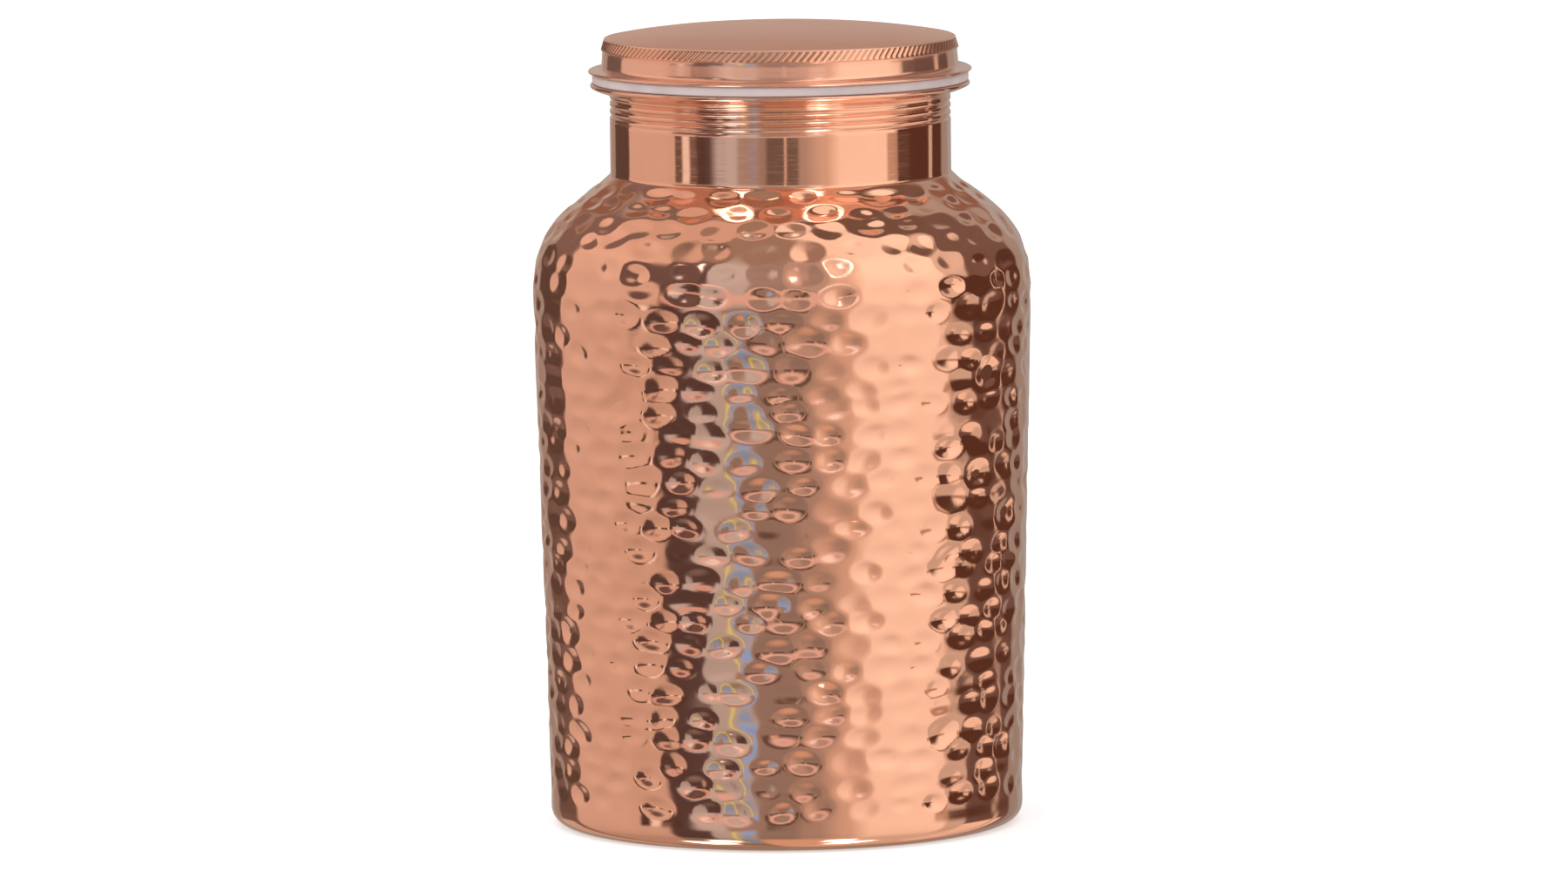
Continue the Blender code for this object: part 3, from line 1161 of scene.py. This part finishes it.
# Each window lies over the ones before it.
WINDOWS = (
    # White sheets hung low on both sides
    Window(97.0, 134.0, -60.0, -15.5, (1.15, 1.02, 0.94), 3.0),
    Window(-156.0, -132.0, -60.0, -15.5, SOFT_WHITE, 3.0),
    # Stands, gaps and sheets that the neck mirrors, from left to right
    Window(-150.0, -125.0, -8.0, 9.0, (0.12, 0.09, 0.08), 0.8),
    Window(-76.0, -70.5, -7.6, -3.0, (0.05, 0.03, 0.03), 0.6, 0.8),
    Window(-69.5, -65.0, -7.6, -3.0, (1.05, 1.08, 1.12), 0.6, 0.8),
    Window(-64.0, -52.0, -8.0, -2.5, (0.09, 0.06, 0.055)),
    Window(-46.0, -29.0, -8.0, 4.0, (0.60, 0.68, 0.78), 4.0),
    Window(-29.0, -10.0, -8.0, -2.5, (0.38, 0.33, 0.31), 2.0),
    Window(-10.0, 12.0, -8.0, -2.5, (0.13, 0.10, 0.09), 1.5),
    Window(77.0, 86.0, -8.0, -2.5, (0.50, 0.36, 0.30), 1.0),
    Window(86.0, 138.0, -8.0, 9.0, (0.105, 0.052, 0.038), 0.8),
    Window(119.5, 124.0, -8.0, 9.0, SOFT_WHITE, 0.5),
    Window(122.5, 127.0, -60.0, -9.0, SOFT_WHITE, 0.5),
    # What the lid's wall mirrors
    Window(-58.0, -37.0, 1.0, 7.5, (0.72, 0.55, 0.53), 0.8),
    Window(-37.0, 30.0, 1.0, 7.5, (0.80, 0.66, 0.66), 0.8),
    Window(-80.0, -45.0, 12.0, 34.0, (0.15, 0.115, 0.12), 2.0, 4.0),
    Window(-41.0, -31.0, 7.0, 14.0, (0.95, 1.00, 1.10), 3.0, 3.0),
    Window(19.0, 29.0, 7.0, 14.0, (1.10, 1.15, 1.25), 3.0, 3.0),
    # A daylit gap between two curtains, with a yellow edge
    Window(-27.0, -25.0, -60.0, -9.0, (0.85, 1.10, 0.34), 0.4, 0.5),
    Window(-22.0, -15.5, -10.6, -7.8, (0.26, 0.70, 1.70), 0.8, 0.5),
    Window(-22.0, -17.5, -60.0, -12.5, (0.30, 0.60, 1.10), 0.8, 0.8),
    # Lamps above and below, for the glints on the shoulder and the thread
    Window(-48.5, -44.5, 30.0, 40.0, SKYLIGHT, 1.5, 2.0),
    Window(25.5, 29.5, 30.0, 40.0, SKYLIGHT, 1.5, 2.0),
    Window(-46.0, -30.0, -54.0, -42.0, STRIP_LIGHT, 3.0),
    Window(-75.0, -43.0, -68.0, -54.0, STRIP_LIGHT, 3.0),
    Window(24.0, 40.0, -56.0, -42.0, STRIP_LIGHT, 3.0),
    Window(38.0, 64.0, -72.0, -56.0, STRIP_LIGHT, 3.0),
    Window(2.0, 3.6, -7.0, 8.0, (0.9, 0.75, 0.65), 0.4),
    # The wall and the ceiling behind, which the crown mirrors
    Window(150.0, 200.0, 18.0, 48.0, WARM_GAP, 4.0, 5.0),
    Window(-200.0, -150.0, 18.0, 48.0, WARM_GAP, 4.0, 5.0),
    Window(168.0, 200.0, 50.0, 85.0, CEILING, 3.0),
    Window(-200.0, -168.0, 50.0, 85.0, CEILING, 3.0),
)


@dataclass
class Studio:
    """Pale floor, soft light, the walls that the copper mirrors, and the camera."""

    camera_distance: float = 3295.0
    camera_height: float = 481.0
    camera_pitch: float = 6.556
    camera_roll: float = 0.56
    camera_side: float = 0.15
    lens: float = 287.9
    floor_size: float = 60.0
    floor_tone: float = 0.50
    floor_glow: float = 0.48
    lamp_energy: float = 2.0
    lamp_spread: float = 100.0
    sky_lift: float = 0.006
    warmth: Colour = (0.974, 0.757, 0.609)

    def wall_stops(self, tier: Tier) -> list[tuple[float, Colour]]:
        """A tier's bands as ramp stops, each meeting the next over a soft edge.

        Args:
            tier: The tier.

        Returns:
            Positions from 0 to 1, each with a colour.
        """
        stops = [(0.0, tier.value[0].colour)]
        for band, following in zip(tier.value, tier.value[1:]):
            stops.append(((band.until - band.soft / 2 + 180.0) / 360.0, band.colour))
            stops.append(((band.until + band.soft / 2 + 180.0) / 360.0, following.colour))
        return stops + [(1.0, tier.value[-1].colour)]

    def build_walls(self) -> None:
        """Make the world: banded walls for the copper to mirror, and plain white for all else."""
        world = bpy.data.worlds.new("studio")
        world.use_nodes = True
        bpy.context.scene.world = world
        sheet = Sheet(world.node_tree)
        direction = sheet.node("ShaderNodeTexCoord", {}, {}).outputs["Generated"]
        split = sheet.node("ShaderNodeSeparateXYZ", {}, {0: direction})
        x, y, z = (Value(sheet, output) for output in split.outputs)
        turn = x.maths("ARCTAN2", x, -y) * (180.0 / math.pi)
        lift = z.maths("ARCSINE", z) * (180.0 / math.pi)
        tiers = {}
        for tier in Tier:
            around = (turn + 180.0) / 360.0
            ramp = sheet.node("ShaderNodeValToRGB", {"stops": self.wall_stops(tier)}, {0: around})
            tiers[tier] = ramp.outputs[0]
        walls = sheet.mix(lift.rise(-42.0, -24.0), tiers[Tier.LOW], tiers[Tier.LEVEL])
        walls = sheet.mix(lift.rise(32.0, 58.0), walls, tiers[Tier.HIGH])
        for pane in WINDOWS:
            across = turn.rise(pane.left - pane.blur, pane.left + pane.blur)
            across = across - turn.rise(pane.right - pane.blur, pane.right + pane.blur)
            upward = lift.rise(pane.bottom - pane.feather, pane.bottom + pane.feather)
            upward = upward - lift.rise(pane.top - pane.feather, pane.top + pane.feather)
            walls = sheet.mix(across * upward, walls, pane.colour)
        walls = sheet.multiplied(walls, self.warmth)
        mirrored = sheet.node("ShaderNodeLightPath", {}, {}).outputs["Is Glossy Ray"]
        colour = sheet.mix(Value(sheet, mirrored), (1.0, 1.0, 1.0), walls)
        slope = lift.maths("MINIMUM", lift.maths("MAXIMUM", lift, -40.0), 30.0) * self.sky_lift
        strength = 1.0 + Value(sheet, mirrored) * slope
        sheet.feed(world.node_tree.nodes["Background"], {"Color": colour, "Strength": strength})

    def build_floor(self) -> None:
        """Make the pale floor, which the copper doesn't mirror."""
        half = self.floor_size / 2
        mesh = bpy.data.meshes.new("studio_floor")
        corners = [(-half, -half, 0.0), (half, -half, 0.0), (half, half, 0.0), (-half, half, 0.0)]
        mesh.from_pydata(corners, [], [(0, 1, 2, 3)])
        floor = bpy.data.objects.new("studio_floor", mesh)
        floor.location.z = -0.2 * MM
        floor.visible_glossy = False
        bpy.context.scene.collection.objects.link(floor)
        material, sheet, shader = new_sheet("studio_floor_pale")
        inputs = {
            "Base Color": (self.floor_tone,) * 3 + (1.0,),
            "Emission Color": (1.0, 1.0, 1.0, 1.0),
            "Emission Strength": self.floor_glow,
            "Roughness": 0.9,
            "Specular IOR Level": 0.0,
        }
        sheet.feed(shader, inputs)
        mesh.materials.append(material)

    def build_light(self) -> None:
        """Make the broad soft light from above."""
        lamp = bpy.data.lights.new("soft_top_light", "SUN")
        lamp.energy = self.lamp_energy
        lamp.angle = math.radians(self.lamp_spread)
        light = bpy.data.objects.new("soft_top_light", lamp)
        light.rotation_euler = (math.radians(14.0), math.radians(-12.0), 0.0)
        light.visible_glossy = False
        bpy.context.scene.collection.objects.link(light)

    def build_camera(self) -> None:
        """Make the camera, in front of the jug and a little above it."""
        lens = bpy.data.cameras.new("camera")
        lens.lens = self.lens
        lens.sensor_width = 36.0
        lens.clip_start = 0.1
        lens.clip_end = 100.0
        camera = bpy.data.objects.new("camera", lens)
        camera.location = (self.camera_side * MM, -self.camera_distance * MM, self.camera_height * MM)
        tilt = math.radians(90.0 - self.camera_pitch)
        camera.rotation_mode = "ZYX"
        camera.rotation_euler = (tilt, 0.0, -math.radians(self.camera_roll))
        bpy.context.scene.collection.objects.link(camera)
        bpy.context.scene.camera = camera

    def build(self) -> None:
        """Make the whole studio."""
        self.build_camera()
        self.build_walls()
        self.build_floor()
        self.build_light()
        view = bpy.context.scene.view_settings
        view.view_transform = "Standard"
        view.look = "None"


def main() -> None:
    """Build the studio and the jug."""
    logging.basicConfig(level=logging.INFO, format="%(name)s: %(message)s")
    Studio().build()
    Vessel().build()
    Neck().build()
    Seal().build()
    Lid().build()


if __name__ == "__main__":
    main()
